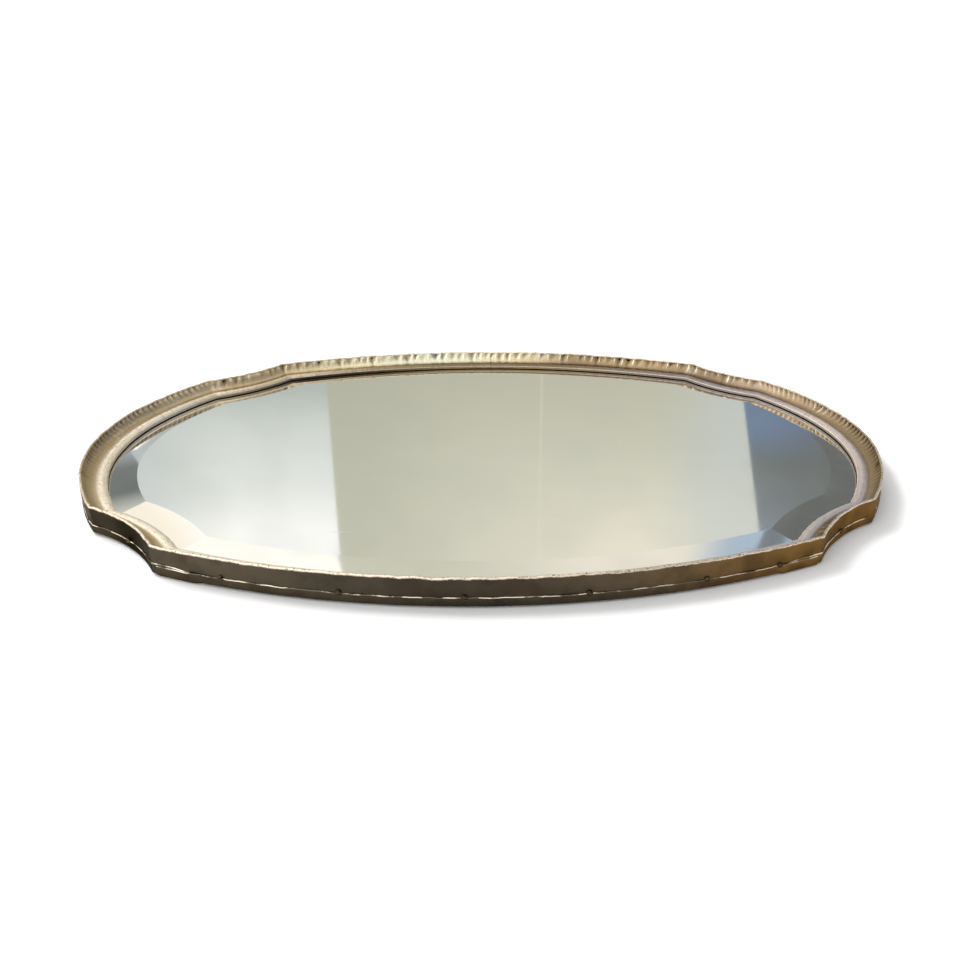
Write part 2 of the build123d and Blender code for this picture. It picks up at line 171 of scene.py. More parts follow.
def crossing(first, second, inset, near):
    """Where the two stretches' circles cross, `inset` in from the lip, next to the corner `near`."""
    r1, r2 = inset_radius(first, inset), inset_radius(second, inset)
    a, b = Vector(first.centre), Vector(second.centre)
    gap = b - a
    along = (gap.length ** 2 + r1 ** 2 - r2 ** 2) / (2 * gap.length)
    across = math.sqrt(max(0.0, r1 ** 2 - along ** 2))
    unit = gap.normalized()
    foot = a + unit * along
    turn = Vector((-unit.y, unit.x)) * across
    return min((foot + turn, foot - turn), key=lambda p: (p - Vector(near)).length)


def angle_near(stretch, point, near):
    """The point's angle about the stretch's centre, on the same turn as the angle `near`."""
    angle = math.atan2(point[1] - stretch.centre[1], point[0] - stretch.centre[0])
    return near + (angle - near + math.pi) % (2 * math.pi) - math.pi


def mitre_angles(index):
    """Angles at which a stretch starts and ends, for each of INSETS."""
    stretch = PLAN[index]
    before, after = PLAN[index - 1], PLAN[(index + 1) % len(PLAN)]
    firsts = [angle_near(stretch, crossing(before, stretch, d, stretch.start), stretch.first) for d in INSETS]
    lasts = [angle_near(stretch, crossing(stretch, after, d, stretch.end), stretch.last) for d in INSETS]
    return np.array(firsts), np.array(lasts)


LENGTHS = [abs(s.last - s.first) * s.radius for s in PLAN]
STARTS = np.concatenate([[0], np.cumsum(LENGTHS)])
AROUND = STARTS[-1]
print(f"once round the lip: {AROUND / MM:.0f} mm")

# %% [markdown]
# ## One way to make every run of rim
# A maker bends a strip to the plan. Here a section is drawn by extruding a single point, then spun about
# the arc's own centre. The rows of points are then slid along their arcs, so that the run starts and
# stops exactly on its mitres, and neighbours weld. Each point remembers how far along and across the
# rim it is: the working of the metal and its finish both follow those two distances.

# %% Drawing and spinning a section


def select_only(obj):
    bpy.ops.object.select_all(action="DESELECT")
    obj.select_set(True)
    bpy.context.view_layer.objects.active = obj


def draw_section(points, closed):
    """A section drawn from given points: one corner of a plane, extruded from point to point."""
    bpy.ops.object.select_all(action="DESELECT")
    bpy.ops.mesh.primitive_plane_add(size=MM, location=(0, 0, 0))
    bpy.ops.object.mode_set(mode="EDIT")
    bpy.context.tool_settings.mesh_select_mode = (True, False, False)
    bpy.ops.mesh.merge(type="CENTER")
    bpy.ops.transform.translate(value=points[0])
    for here, there in zip(points, points[1:]):
        bpy.ops.mesh.extrude_region_move(TRANSFORM_OT_translate={"value": there - here})
    if closed:
        bpy.ops.object.mode_set(mode="OBJECT")
        mesh = bpy.context.object.data
        ends = (0, len(mesh.vertices) - 1)
        for vertex in mesh.vertices:
            vertex.select = vertex.index in ends
        bpy.ops.object.mode_set(mode="EDIT")
        bpy.ops.mesh.edge_face_add()
    bpy.ops.object.mode_set(mode="OBJECT")
    return bpy.context.object


def normals_of(section, closed):
    """Unit normals of a section's points, to the left of the way it is drawn."""
    ahead = np.roll(section, -1, axis=0) - section
    behind = section - np.roll(section, 1, axis=0)
    if not closed:
        ahead[-1], behind[0] = behind[-1], ahead[0]
    way = ahead / np.linalg.norm(ahead, axis=1)[:, None] + behind / np.linalg.norm(behind, axis=1)[:, None]
    way /= np.linalg.norm(way, axis=1)[:, None] + 1e-12
    return np.column_stack([-way[:, 1], way[:, 0]])


def spin_stretch(index, section, closed, limits, step, work):
    """One stretch of rim. `limits` are the angles to stop at, where it doesn't run to its mitres."""
    stretch = PLAN[index]
    sign = 1 if stretch.convex else -1
    first = stretch.first if limits[0] is None else limits[0]
    last = stretch.last if limits[1] is None else limits[1]
    steps = max(2, round(abs(last - first) * stretch.radius / step))
    way = Vector((math.cos(first), math.sin(first), 0))
    centre = Vector((*stretch.centre, 0))
    points = [centre + way * (stretch.radius - sign * d) + Vector((0, 0, z)) for d, z in section]
    obj = draw_section(points, closed)
    bpy.ops.object.mode_set(mode="EDIT")
    bpy.ops.mesh.select_all(action="SELECT")
    bpy.ops.mesh.spin(steps=steps, angle=last - first, center=centre, axis=(0, 0, 1))
    bpy.ops.object.mode_set(mode="OBJECT")

    co = np.empty(len(obj.data.vertices) * 3)
    obj.data.vertices.foreach_get("co", co)
    co = co.reshape(-1, 3)
    x, y = co[:, 0] - stretch.centre[0], co[:, 1] - stretch.centre[1]
    inset = (stretch.radius - np.hypot(x, y)) * sign
    turn = (np.arctan2(y, x) - first + math.pi) % (2 * math.pi) - math.pi
    share = np.clip(np.abs(turn) / abs(last - first), 0, 1)
    row = np.argmin((inset[:, None] - section[:, 0]) ** 2 + (co[:, 2:] - section[:, 1]) ** 2, axis=1)
    lengths = np.linalg.norm(np.diff(section, axis=0), axis=1)
    across = np.concatenate([[0], np.cumsum(lengths)])[row]
    angle = first + share * (last - first)
    along = STARTS[index] + np.abs(angle - stretch.first) * stretch.radius

    shift = work(along, across, row)
    normal = normals_of(section, closed)[row]
    inset = section[row, 0] + normal[:, 0] * shift[0] + shift[1]
    height = section[row, 1] + normal[:, 1] * shift[0] + shift[2]
    firsts, lasts = mitre_angles(index)
    begin = np.interp(inset, INSETS, firsts) if limits[0] is None else first
    finish = np.interp(inset, INSETS, lasts) if limits[1] is None else last
    angle = begin + share * (finish - begin)
    radius = stretch.radius - sign * inset
    co = np.column_stack([stretch.centre[0] + radius * np.cos(angle),
                          stretch.centre[1] + radius * np.sin(angle), height])
    obj.data.vertices.foreach_set("co", co.ravel())
    for name, values in (("along", along), ("across", across), ("worked", shift[0] / MM)):
        obj.data.attributes.new(name, "FLOAT", "POINT").data.foreach_set("value", values.astype(np.float32))
    obj.data.update()
    return obj


def smooth(low, high, value):
    t = np.clip((value - low) / (high - low), 0, 1)
    return t * t * (3 - 2 * t)


def no_work(along, across, row):
    return np.zeros((3, len(along)))


WELD = 0.02 * MM


def make_run(name, section, stretches, closed=True, step=0.8 * MM, work=no_work, smooth_to=40.0):
    """Spins the stretches, welds them into one piece and closes its two cut ends."""
    section = np.array(section, float)
    parts = [spin_stretch(PLACE[s], section, closed, (a, b), step, work) for s, a, b in stretches]
    select_only(parts[0])
    for part in parts:
        part.select_set(True)
    if len(parts) > 1:
        bpy.ops.object.join()
    piece = parts[0]
    piece.name = piece.data.name = name
    bpy.ops.object.mode_set(mode="EDIT")
    bpy.ops.mesh.select_all(action="SELECT")
    bpy.ops.mesh.remove_doubles(threshold=WELD)
    if closed:
        bpy.ops.mesh.select_all(action="SELECT")
        bpy.ops.mesh.fill_holes(sides=0)
    bpy.ops.mesh.select_all(action="SELECT")
    bpy.ops.mesh.normals_make_consistent(inside=False)
    bpy.ops.object.mode_set(mode="OBJECT")
    bpy.ops.object.shade_smooth_by_angle(angle=math.radians(smooth_to))
    add_rim_uv(piece.data)
    print(f"{name}: {len(piece.data.polygons)} faces")
    return piece


def add_rim_uv(mesh):
    """A UV map in metres: distance along the rim, distance across its section."""
    corner = np.empty(len(mesh.loops), np.int32)
    mesh.loops.foreach_get("vertex_index", corner)
    values = []
    for name in ("along", "across"):
        value = np.empty(len(mesh.vertices), np.float32)
        mesh.attributes[name].data.foreach_get("value", value)
        values.append(value[corner])
    layer = mesh.uv_layers.new(name="rim")
    layer.data.foreach_set("uv", np.column_stack(values).astype(np.float32).ravel())

# %% [markdown]
# ## The section of the brass sheet
# The sheet runs up the wall, folds over the lip, falls through a quarter-round cove, swells into the
# ledge and turns down beside the mirror. Its underside follows it at the sheet's own thickness. Rows are
# close together where the metal is worked, and far apart underneath, where nothing shows.

# %% Rim section
CORE_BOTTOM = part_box("core_rail_front")[0].z
LIP_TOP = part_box("rim_sheet_front")[1].z
MIRROR_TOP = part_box("mirror_plate")[1].z
SHEET = 0.5 * MM
LIP_WIDTH = 1.3 * MM
COVE_RADIUS = 5.7 * MM
SIGHT_EDGE = 11.6 * MM
SIGHT_TOP = MIRROR_TOP + 0.6 * MM
SIGHT_BOTTOM = 5.35 * MM
BEAD_RISE = 0.95 * MM
LIP_CENTRE = LIP_TOP - LIP_WIDTH / 2
COVE_X = LIP_WIDTH + COVE_RADIUS
COVE_FLOOR = LIP_CENTRE - COVE_RADIUS


def fan(centre, radius, first, last, count):
    """Points on an arc, from one angle to another in degrees, without the first."""
    angles = np.radians(np.linspace(first, last, count + 1)[1:])
    return [(centre[0] + radius * math.cos(a), centre[1] + radius * math.sin(a)) for a in angles]


def arch(start, end, rise, count):
    """Points along a shallow arch that stands `rise` above the straight line, without the first."""
    shares = np.linspace(0, 1, count + 1)[1:]
    return [(start[0] + (end[0] - start[0]) * t,
             start[1] + (end[1] - start[1]) * t + rise * 4 * t * (1 - t)) for t in shares]


def straight(start, end, count):
    return arch(start, end, 0.0, count)


FOLD_WIDTH = 0.35 * MM
FOLD_DROP = 1.44 * MM
fold = (SHEET + FOLD_WIDTH, LIP_TOP - FOLD_DROP)
under_floor = (COVE_X, COVE_FLOOR - SHEET)
regions = [
    ("wall", [(0, CORE_BOTTOM)] + straight((0, CORE_BOTTOM), (0, LIP_CENTRE), 13)),
    ("lip", fan((LIP_WIDTH / 2, LIP_CENTRE), LIP_WIDTH / 2, 180, 0, 7)),
    ("cove", fan((COVE_X, LIP_CENTRE), COVE_RADIUS, 180, 270, 18)),
    ("ledge", arch((COVE_X, COVE_FLOOR), (SIGHT_EDGE, SIGHT_TOP), BEAD_RISE, 12)),
    ("sight", straight((SIGHT_EDGE, SIGHT_TOP), (SIGHT_EDGE, SIGHT_BOTTOM), 3)),
    ("under", [(SIGHT_EDGE - SHEET, SIGHT_BOTTOM)]
     + arch((SIGHT_EDGE - SHEET, SIGHT_TOP - SHEET / 2), under_floor, BEAD_RISE, 4)
     + fan((COVE_X, LIP_CENTRE), COVE_RADIUS + SHEET, 270, 187, 6)
     + [fold, (SHEET, fold[1]), (SHEET, CORE_BOTTOM)]),
]
rim_section = [point for _, points in regions for point in points]
region_of = np.array([name for name, points in regions for _ in points])
print("rim section:", {name: len(points) for name, points in regions})

# %% [markdown]
# ## Working the metal
# When flat sheet is pushed into a hollow ring, its edge is too long and gathers. The maker beats the
# gathers down into flutes: even, slanting ones round the ends, and uneven wedges along the sides. Each
# gather is a dent, wide at the lip and gone before the cove's floor. The lip wanders, and the ledge
# carries the marks of a pointed punch.

# %% Flutes, wander and stipple
GATHER_SEED = 7
LIP_SEED = 3
Gathers = namedtuple("Gathers", "width depth reach peak")
END_GATHERS = Gathers(width=(3.4, 4.6), depth=(0.24, 0.40), reach=(0.62, 0.84), peak=(0.55, 0.75))
SIDE_GATHERS = Gathers(width=(3.8, 9.0), depth=(0.14, 0.58), reach=(0.45, 0.95), peak=(0.25, 0.75))
END_SLANT, SIDE_SLANT = 3.4, 0.6
DENTS = {"wall": (0.16, 0.02), "ledge": (0.10, 0.15), "cove": (0.10, 0.03)}
END_STRETCHES = ("right_tip", "right_back", "right_front", "left_tip", "left_back", "left_front")


def wander(along, wavelengths, seed):
    """A slow wave round the rim that closes on itself, about 1 high."""
    rng = np.random.default_rng(seed)
    total = np.zeros_like(along)
    for length in wavelengths:
        turns = max(1, round(AROUND / length))
        total += np.sin(2 * math.pi * turns * along / AROUND + rng.uniform(0, 2 * math.pi))
    return total / len(wavelengths)


def end_share(along):
    """1 round the two ends of the tray, 0 along its sides and in its hollows."""
    share = np.zeros_like(along)
    for index, stretch in enumerate(PLAN):
        if stretch.name in END_STRETCHES:
            low, high = STARTS[index], STARTS[index + 1]
            share = np.maximum(share, ((along >= low - MM) & (along <= high + MM)).astype(float))
    return share


def make_gathers():
    """Where each gather starts, its depth, its reach down the cove and where across it is highest."""
    rng = np.random.default_rng(GATHER_SEED)
    edges = [0.0]
    while edges[-1] < AROUND:
        on_end = end_share(np.array([edges[-1]]))[0]
        widths = END_GATHERS.width if on_end else SIDE_GATHERS.width
        edges.append(edges[-1] + rng.uniform(*widths) * MM)
    edges = np.array(edges) * AROUND / edges[-1]
    on_end = end_share(edges)
    depth, reach, peak = (
        np.where(on_end, rng.uniform(*at_end, len(edges)), rng.uniform(*at_side, len(edges)))
        for at_end, at_side in zip(END_GATHERS[1:], SIDE_GATHERS[1:]))
    return edges, depth * MM, reach, peak


GATHERS = make_gathers()
print("gathers round the lip:", len(GATHERS[0]))


def gather_push(along, down):
    """How far the cove stands in or out at a share `down` of its depth."""
    edges, depth, reach, peak = GATHERS
    side = np.where(np.mod(along - STARTS[1], AROUND) < AROUND / 2, 1, -1)
    slant = np.where(end_share(along) > 0, -side * END_SLANT, SIDE_SLANT) * MM
    place = np.mod(along - slant * down, AROUND)
    cell = np.clip(np.searchsorted(edges, place, side="right") - 1, 0, len(edges) - 2)
    share = (place - edges[cell]) / (edges[cell + 1] - edges[cell])
    narrow = np.clip(1 - down / reach[cell], 0, 1)
    left = share / peak[cell]
    right = (1 - share) / (1 - peak[cell])
    wedge = np.clip(np.minimum(left, right) - (1 - narrow), 0, 1)
    crest = np.clip(1 - np.minimum(share, 1 - share) * 9, 0, 1) * narrow
    return depth[cell] * (0.6 * crest - 1.15 * wedge)


def grain(along, across, scale, seed):
    """Fine noise on the unrolled sheet."""
    return np.array([noise.noise((a / scale, b / scale, seed)) for a, b in zip(along, across)])


def work_sheet(along, across, row):
    """Push along the section's normal, then shifts in and up, for each point of the sheet."""
    region = region_of[row]
    down = np.clip((across - across[region == "cove"].min()) / (math.pi / 2 * COVE_RADIUS), 0, 1)
    shown = region != "under"
    push = np.zeros_like(along)
    cove = region == "cove"
    push[cove] = gather_push(along[cove], down[cove])
    dents = grain(along, across, 9 * MM, 1.5)
    fine = grain(along, across, 1.25 * MM, 8.5)
    for name, (deep, shallow) in DENTS.items():
        push += np.where(region == name, deep * dents + shallow * fine, 0) * MM
    near_lip = smooth(LIP_TOP - 5 * MM, LIP_TOP, np.array(rim_section)[row, 1]) * shown
    lip = near_lip * (0.22 * wander(along, (61 * MM, 37 * MM, 17 * MM), LIP_SEED)
                      + 0.10 * grain(along, along * 0, 3 * MM, 4.5)) * MM
    rise = near_lip * (0.20 * wander(along, (83 * MM, 41 * MM, 13 * MM), LIP_SEED + 1)
                       + 0.30 * grain(along, along * 0, 2.6 * MM, 6.5) - 0.05) * MM
    sight = (region == "sight") * 0.12 * wander(along, (47 * MM, 23 * MM, 9 * MM), LIP_SEED + 2) * MM
    return np.array([push * shown, lip + sight, rise])


# %% [markdown]
# ## The brass rim sheets
# Three lengths of sheet cover the ring. One goes round the front, from behind one end to behind the
# other, and two meet at the middle of the back. Their butt joints are left as fine open lines.

# %% Rim sheets
END_JOINT_Y = 43.0 * MM
JOINT_GAP = 0.2 * MM
RIM_STEP = 0.56 * MM


def angle_at_y(name, y):
    stretch = PLAN[PLACE[name]]
    lean = math.asin((y - stretch.centre[1]) / stretch.radius)
    return lean if stretch.centre[0] > 0 else math.pi - lean


def angle_at_x(name, x):
    stretch = PLAN[PLACE[name]]
    lean = math.acos((x - stretch.centre[0]) / stretch.radius)
    return lean if name == "back" else -lean


def run_between(first, start, last, stop):
    """The stretches from one to another, anticlockwise, and the angles to start and to stop at."""
    count = (PLACE[last] - PLACE[first]) % len(PLAN)
    names = [PLAN[(PLACE[first] + i) % len(PLAN)].name for i in range(count + 1)]
    return [(name, start if i == 0 else None, stop if i == count else None)
            for i, name in enumerate(names)]


low, high = END_JOINT_Y - JOINT_GAP / 2, END_JOINT_Y + JOINT_GAP / 2
rim_runs = {
    "rim_sheet_front": run_between("left_back", angle_at_y("left_back", low),
                                   "right_back", angle_at_y("right_back", low)),
    "rim_sheet_back_right": run_between("right_back", angle_at_y("right_back", high),
                                        "back", angle_at_x("back", JOINT_GAP / 2)),
    "rim_sheet_back_left": run_between("back", angle_at_x("back", -JOINT_GAP / 2),
                                       "left_back", angle_at_y("left_back", high)),
}
rim_sheets = {node: make_run(node + "_worked", rim_section, run, step=RIM_STEP, work=work_sheet)
              for node, run in rim_runs.items()}
for node, piece in rim_sheets.items():
    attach(piece, "root")
    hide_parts(node)

# %% [markdown]
# ## The side strips
# A second, narrower strip is pinned round the foot of the wall. It stands a little proud, so its top
# edge makes a thin bright line, broken where the strip lies hard against the wall. Near the front
# corners the end of the front strip laps over the one that comes round the corner.

# %% Strips
STRIP_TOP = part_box("side_strip_front")[1].z
STRIP_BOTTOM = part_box("side_strip_front")[0].z
STRIP_FLANGE = 2.6 * MM
STRIP_BEND = 0.9 * MM
JOINT_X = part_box("side_strip_front")[1].x
LAP_RISE = 0.9 * MM
LAP_OUT = 0.42 * MM
LAP_LENGTH = 15.5 * MM
SOFT_TOP = 0.1 * MM

strip_section = ([(0, STRIP_TOP - SOFT_TOP), (0, CORE_BOTTOM), (STRIP_FLANGE, CORE_BOTTOM),
                  (STRIP_FLANGE, STRIP_BOTTOM), (STRIP_BEND - SHEET, STRIP_BOTTOM)]
                 + fan((STRIP_BEND - SHEET, STRIP_BOTTOM + STRIP_BEND), STRIP_BEND, -90, -180, 5)
                 + straight((-SHEET, STRIP_BOTTOM + STRIP_BEND), (-SHEET, STRIP_TOP - SOFT_TOP), 5)
                 + [(-SHEET + 0.12 * MM, STRIP_TOP), (-SOFT_TOP, STRIP_TOP)])
strip_heights = np.array(strip_section)[:, 1]
strip_insets = np.array(strip_section)[:, 0]


def distance_past_joint(along):
    """How far past the strips' joint, towards the nearest corner, a point of a long side lies."""
    past = np.full_like(along, -1.0)
    for name in ("front", "back"):
        low, high = STARTS[PLACE[name]], STARTS[PLACE[name] + 1]
        middle = (low + high) / 2
        on = (along >= low) & (along <= high)
        past = np.where(on, np.abs(along - middle) - JOINT_X, past)
    return past


def work_strip(along, across, row, lapped=False):
    """Ragged top edge, dents, and the laps: the end strips rise at theirs, the others pass outside."""
    top = smooth(STRIP_TOP - 1.4 * MM, STRIP_TOP, strip_heights[row])
    outer = strip_insets[row] < -0.2 * MM
    ragged = (0.16 * grain(along, along * 0, 5 * MM, 2.5) + 0.13 * grain(along, along * 0, 1.4 * MM, 3.5))
    hard = smooth(-0.15, 0.35, wander(along, (73 * MM, 29 * MM, 11 * MM), 12))
    tuck = (1 - hard) * 0.30 * outer * top
    dents = 0.14 * grain(along, across, 8 * MM, 5.5) * (strip_insets[row] < 0)
    rise = ragged * top
    past = distance_past_joint(along)
    if lapped:
        lap = smooth(-3 * MM, 0.5 * MM, past) * LAP_OUT / MM
        out = -lap
        rise = rise - lap * (1 - smooth(STRIP_BOTTOM + STRIP_BEND, STRIP_TOP, strip_heights[row]))
    else:
        out = 0.0
        rise = rise + top * LAP_RISE / MM * smooth(0, 14 * MM, past) * (past > 0)
    return np.array([np.zeros_like(along), (dents * 0.6 + tuck + out), rise]) * MM


def work_lapped_strip(along, across, row):
    return work_strip(along, across, row, lapped=True)


LAP_END_X = JOINT_X + LAP_LENGTH
JOINT_START_X = JOINT_X + JOINT_GAP
strip_runs = {
    "side_strip_front": run_between("front", angle_at_x("front", -LAP_END_X),
                                    "front", angle_at_x("front", LAP_END_X)),
    "side_strip_back": run_between("back", angle_at_x("back", LAP_END_X),
                                   "back", angle_at_x("back", -LAP_END_X)),
    "side_strip_right": run_between("front", angle_at_x("front", JOINT_START_X),
                                    "back", angle_at_x("back", JOINT_START_X)),
    "side_strip_left": run_between("back", angle_at_x("back", -JOINT_START_X),
                                   "front", angle_at_x("front", -JOINT_START_X)),
}
strips = {node: make_run(node + "_worked", strip_section, run,
                         work=work_lapped_strip if len(run) == 1 else work_strip)
          for node, run in strip_runs.items()}
for node, piece in strips.items():
    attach(piece, "root")
    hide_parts(node)

# %% [markdown]
# ## The mirror
# Plate glass is cut to the scalloped outline and a wide, shallow bevel is ground all round. The bevel
# and the edge are one run of section round the plan. The flat face and the back are each a single face
# that closes the run, so the reflection in them has no ripple.

# %% Mirror
MIRROR_INSET = 9.2 * MM
BEVEL_INSET = 25.0 * MM
BEVEL_DROP = 1.5 * MM
ARRIS = 0.25 * MM
MIRROR_STEP = 1.6 * MM
MIRROR_SMOOTH = 2.5
SAME_LEVEL = 0.01 * MM
card_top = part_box("mirror_plate")[0].z
mirror_section = [(BEVEL_INSET, MIRROR_TOP), (BEVEL_INSET - ARRIS, MIRROR_TOP - 0.02 * MM),
                  (MIRROR_INSET + ARRIS, MIRROR_TOP - BEVEL_DROP),
                  (MIRROR_INSET, MIRROR_TOP - BEVEL_DROP - ARRIS),
                  (MIRROR_INSET, card_top + ARRIS), (MIRROR_INSET + ARRIS, card_top)]


def close_loops(piece, heights):
    """Fills the open loop of edges at each of the heights with one flat face."""
    for height in heights:
        select_only(piece)
        bpy.ops.object.mode_set(mode="EDIT")
        bpy.ops.mesh.select_all(action="DESELECT")
        bpy.ops.mesh.select_non_manifold()
        bpy.ops.object.mode_set(mode="OBJECT")
        for edge in piece.data.edges:
            ends = [piece.data.vertices[i].co.z for i in edge.vertices]
            if any(abs(z - height) > SAME_LEVEL for z in ends):
                edge.select = False
        for vertex in piece.data.vertices:
            vertex.select = vertex.select and abs(vertex.co.z - height) < SAME_LEVEL
        bpy.ops.object.mode_set(mode="EDIT")
        bpy.ops.mesh.edge_face_add()
        bpy.ops.mesh.select_all(action="SELECT")
        bpy.ops.mesh.normals_make_consistent(inside=False)
        bpy.ops.object.mode_set(mode="OBJECT")


mirror = make_run("mirror_bevelled", mirror_section, [(s.name, None, None) for s in PLAN],
                  closed=False, step=MIRROR_STEP, smooth_to=MIRROR_SMOOTH)
close_loops(mirror, (MIRROR_TOP, card_top))
bpy.ops.object.shade_smooth_by_angle(angle=math.radians(MIRROR_SMOOTH))
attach(mirror, "root")
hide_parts("mirror_plate")
print("mirror faces:", len(mirror.data.polygons))

# %% [markdown]
# ## Felt pads
# Four discs of felt keep the tray off the table. Felt is cut with a punch, so its edge is square but
# soft, and its fibres lift a little everywhere. A disc is extruded, its rims are bevelled and its faces
# are divided, then every point is moved a little by a noise that has no direction.

# %% Pads
PAD_NODES = ["felt_pad_front_left", "felt_pad_front_right", "felt_pad_back_left", "felt_pad_back_right"]
PAD_SIDES = 72
PAD_RINGS = 6
PAD_RIM = 0.2 * MM
PAD_FUZZ = 0.06 * MM


def make_pad(node):
    low, high = (Vector(corner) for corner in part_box(node))
    radius = (high.x - low.x) / 2 - PAD_FUZZ
    bpy.ops.object.select_all(action="DESELECT")
    bpy.ops.mesh.primitive_circle_add(vertices=PAD_SIDES, radius=radius, fill_type="NGON",
                                      location=((low.x + high.x) / 2, (low.y + high.y) / 2, low.z))
    pad = bpy.context.object
    pad.name = pad.data.name = node.replace("felt_pad", "felt_disc")
    bpy.ops.object.transform_apply(location=True)
    bpy.ops.object.mode_set(mode="EDIT")
    bpy.ops.mesh.select_all(action="SELECT")
    bpy.ops.mesh.extrude_region_move(TRANSFORM_OT_translate={"value": (0, 0, high.z - low.z)})
    bpy.ops.mesh.select_all(action="SELECT")
    bpy.ops.mesh.normals_make_consistent(inside=False)
    bpy.ops.mesh.bevel(offset=PAD_RIM, segments=2, affect="EDGES")
    bpy.ops.object.mode_set(mode="OBJECT")
    for face in pad.data.polygons:
        face.select = len(face.vertices) > 4
    bpy.ops.object.mode_set(mode="EDIT")
    bpy.context.tool_settings.mesh_select_mode = (False, False, True)
    for _ in range(PAD_RINGS):
        bpy.ops.mesh.inset(thickness=radius / (PAD_RINGS + 1.5))
    bpy.ops.mesh.select_all(action="SELECT")
    bpy.ops.mesh.quads_convert_to_tris()
    bpy.ops.object.mode_set(mode="OBJECT")
    middle = (low.z + high.z) / 2
    for vertex in pad.data.vertices:
        lift = noise.noise(vertex.co / (0.7 * MM)) * PAD_FUZZ
        side = noise.noise_vector(vertex.co / (0.5 * MM)) * PAD_FUZZ
        vertex.co += Vector((side.x, side.y, -abs(lift) if vertex.co.z > middle else abs(lift)))
    bpy.ops.object.shade_smooth_by_angle(angle=math.radians(50))
    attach(pad, "root")
    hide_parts(node)
    return pad


pads = [make_pad(node) for node in PAD_NODES]
print("pads:", len(pads), "with", len(pads[0].data.polygons), "faces each")

# %% [markdown]
# ## Writing a finish as a sum
# A finish is a picture worked out from place: how far up the wall, how deep in a flute, how near the
# end. Written with Python's own signs it reads as a sentence. One small class wraps a socket for the
# arithmetic, and one method adds every other node.

# %% The finish maker


class Wire:
    """A value in a finish. Python's signs between wires add the Math nodes that work them out."""

    def __init__(self, finish, socket):
        self.finish, self.socket = finish, socket

    def math(self, operation, first, second):
        return self.finish.node("Math", {"operation": operation}, {0: first, 1: second})

    def __add__(self, other):
        return self.math("ADD", self, other)

    def __sub__(self, other):
        return self.math("SUBTRACT", self, other)

    def __rsub__(self, other):
        return self.math("SUBTRACT", other, self)

    def __mul__(self, other):
        return self.math("MULTIPLY", self, other)

    def __truediv__(self, other):
        return self.math("DIVIDE", self, other)

    __radd__, __rmul__ = __add__, __mul__


class Finish:
    """A node tree under construction."""

    def __init__(self, name, owner=None, **shader):
        self.material = owner or bpy.data.materials.new(name)
        self.material.use_nodes = True
        self.tree = self.material.node_tree
        self.shader = self.tree.nodes.get("Principled BSDF")
        self.wear(**shader)

    def set(self, socket, value):
        if isinstance(value, Wire):
            self.tree.links.new(value.socket, socket)
        else:
            socket.default_value = value

    def node(self, kind, settings=None, inputs=None, out=0):
        node = self.tree.nodes.new("ShaderNode" + kind)
        for name, value in (settings or {}).items():
            if name == "stops":
                ramp = node.color_ramp.elements
                while len(ramp) < len(value):
                    ramp.new(0.5)
                for element, (place, colour) in zip(ramp, value):
                    element.position, element.color = place, colour
            else:
                setattr(node, name, value)
        for key, value in (inputs or {}).items():
            self.set(node.inputs[key], value)
        return Wire(self, node.outputs[out])

    def part_of(self, where, axis):
        return self.node("SeparateXYZ", {}, {0: where}, out="XYZ".index(axis)) * 1000.0

    def place(self, axis):
        """One of the object's own coordinates, in millimetres."""
        return self.part_of(self.node("TexCoord", out=3), axis)

    def across_rim(self):
        """Distance across the rim's section, in millimetres."""
        return self.part_of(self.node("UVMap", {"uv_map": "rim"}), "Y")

    def step(self, value, low, high):
        """0 below `low`, 1 above `high`, smooth between."""
        return self.node("MapRange", {"interpolation_type": "SMOOTHSTEP"}, {0: value, 1: low, 2: high})

    def noise(self, size, detail=2.0, stretch=(1, 1, 1), source=None):
        """Cloudy noise of a size in millimetres, about 0.5."""
        where = source or self.node("TexCoord", out=3)
        spread = self.node("Mapping", {}, {"Vector": where, "Scale": [1000.0 / s for s in stretch]})
        return self.node("TexNoise", {}, {"Vector": spread, "Scale": 1.0 / size, "Detail": detail})

    def mix(self, share, first, second):
        """From the first colour to the second. Either may be a hex code."""
        first, second = (colour(c) if isinstance(c, str) else c for c in (first, second))
        return self.node("Mix", {"data_type": "RGBA", "clamp_factor": True},
                         {0: share, 6: first, 7: second}, out=2)

    def bump(self, height, depth):
        """Bumps of a depth in millimetres."""
        return self.node("Bump", {}, {"Height": height, "Distance": depth * MM})

    def wear(self, **sockets):
        for key, value in sockets.items():
            self.set(self.shader.inputs[key.replace("_", " ").title()], value)
        return self.material


def colour(code):
    """A linear colour from a painter's hex code."""
    parts = [int(code[i:i + 2], 16) / 255 for i in (0, 2, 4)]
    linear = [p / 12.92 if p <= 0.04045 else ((p + 0.055) / 1.055) ** 2.4 for p in parts]
    return (*linear, 1.0)


def along_tray(finish, codes):
    """A colour that changes from one end of the tray to the other."""
    share = (finish.place("X") + HALF_LENGTH / MM) / (2 * HALF_LENGTH / MM)
    stops = [(place, colour(code)) for place, code in codes]
    return finish.node("ValToRGB", {"stops": stops}, {0: share})
